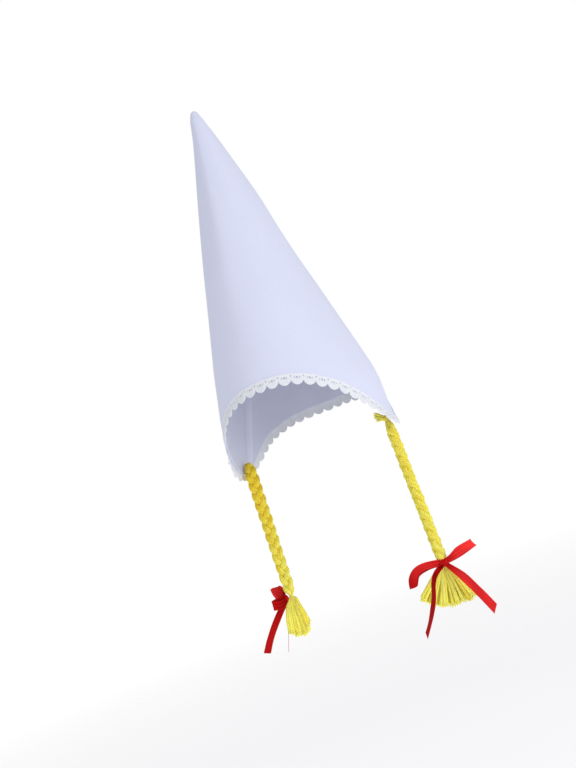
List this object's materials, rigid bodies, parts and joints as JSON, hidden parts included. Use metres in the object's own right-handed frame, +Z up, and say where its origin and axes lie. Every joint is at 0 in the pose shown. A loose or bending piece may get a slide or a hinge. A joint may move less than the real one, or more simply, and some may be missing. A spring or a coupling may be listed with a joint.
{
  "type": "costume hat",
  "caption": "Tall felt cone hat with ear flaps and scalloped lace edging, worn for costume and stage, with a hanging yarn braid on each flap, tied off by a ribbon bow above a tassel.",
  "frame": {"origin": "on the hat's axis, level with the felt's edge at the middle of the forehead", "axes": "+Z up along the cone's axis to its tip, the wearer faces -Y, +X to the right as seen from the front"},
  "size_m": [0.2416, 0.1932, 0.6092],
  "materials": {
    "felt": "soft matte felt",
    "lace": "matte cotton lace",
    "yarn": "matte fluffy yarn",
    "ribbon": "satin"
  },
  "bodies": {
    "root": {"front_panel": "felt", "back_panel": "felt", "front_lace": "lace", "back_lace": "lace", "left_braid": "yarn", "right_braid": "yarn", "right_tie": "yarn", "left_tassel": "yarn", "right_tassel": "yarn", "left_bow": "ribbon", "right_bow": "ribbon"}
  },
  "joints": []
}
